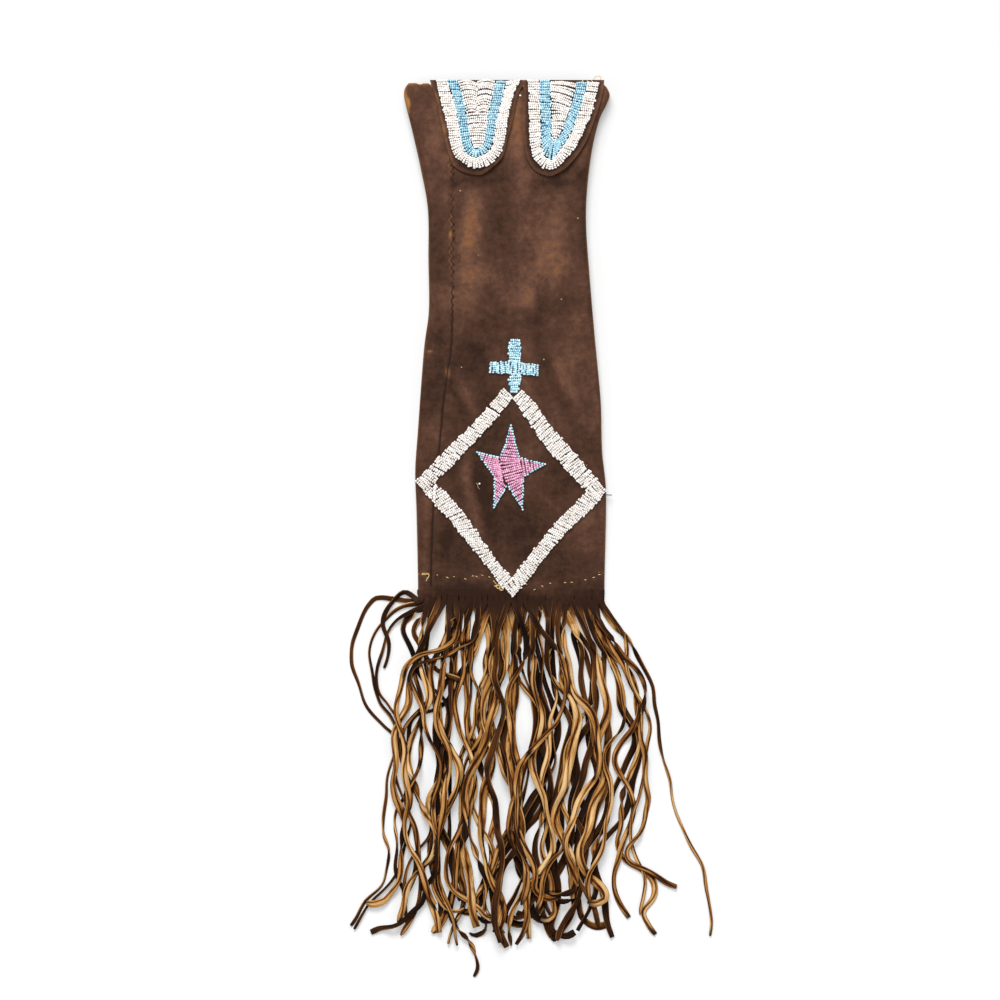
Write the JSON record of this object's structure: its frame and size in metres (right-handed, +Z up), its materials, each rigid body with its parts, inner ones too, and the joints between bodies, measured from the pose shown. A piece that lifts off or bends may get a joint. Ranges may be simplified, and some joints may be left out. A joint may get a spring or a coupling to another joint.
{
  "type": "beaded pipe bag",
  "caption": "Long flat hide pouch, open at the mouth, with beaded lift-up flaps along the rim, a beaded cross, diamond and star on the front, and a foot cut into a long thong fringe.",
  "frame": {"origin": "the middle of the pouch's back panel, half way between hem and rim, on the surface that the bag lies on", "axes": "+Y along the bag towards its mouth, +Z up out of the beaded front, +X to the right when looking at the front"},
  "size_m": [0.2939, 0.7159, 0.0168],
  "materials": {
    "hide": "dark brown smoked hide, matt",
    "thong_hide": "tan hide, matt",
    "white_beads": "opaque white glass seed beads",
    "blue_beads": "opaque light blue glass seed beads",
    "pink_beads": "opaque pink glass seed beads"
  },
  "bodies": {
    "bag": {"pouch": "hide", "front_fringe": "thong_hide", "back_fringe": "thong_hide", "diamond_upper_left_beads": "white_beads", "diamond_upper_right_beads": "white_beads", "diamond_lower_left_beads": "white_beads", "diamond_lower_right_beads": "white_beads", "cross_head_beads": "blue_beads", "cross_bar_beads": "blue_beads", "cross_foot_beads": "blue_beads", "star_edge_beads": "blue_beads", "star_middle_beads": "pink_beads", "star_top_beads": "pink_beads", "star_left_beads": "pink_beads", "star_lower_left_beads": "pink_beads", "star_lower_right_beads": "pink_beads", "star_right_beads": "pink_beads"},
    "left_leaf": {"left_flap": "hide", "left_flap_white_beads": "white_beads", "left_flap_blue_beads": "blue_beads", "left_flap_fill_beads": "white_beads"},
    "right_leaf": {"right_flap": "hide", "right_flap_white_beads": "white_beads", "right_flap_blue_beads": "blue_beads", "right_flap_fill_beads": "white_beads"}
  },
  "joints": [
    {"name": "left_flap_lift", "type": "hinge", "parent": "bag", "child": "left_leaf", "pos_m": [-0.0296, 0.1977, 0.014], "axis": [-1, 0, 0], "range_deg": [0, 170]},
    {"name": "right_flap_lift", "type": "hinge", "parent": "bag", "child": "right_leaf", "pos_m": [0.0419, 0.1977, 0.014], "axis": [-1, 0, 0], "range_deg": [0, 170]}
  ]
}
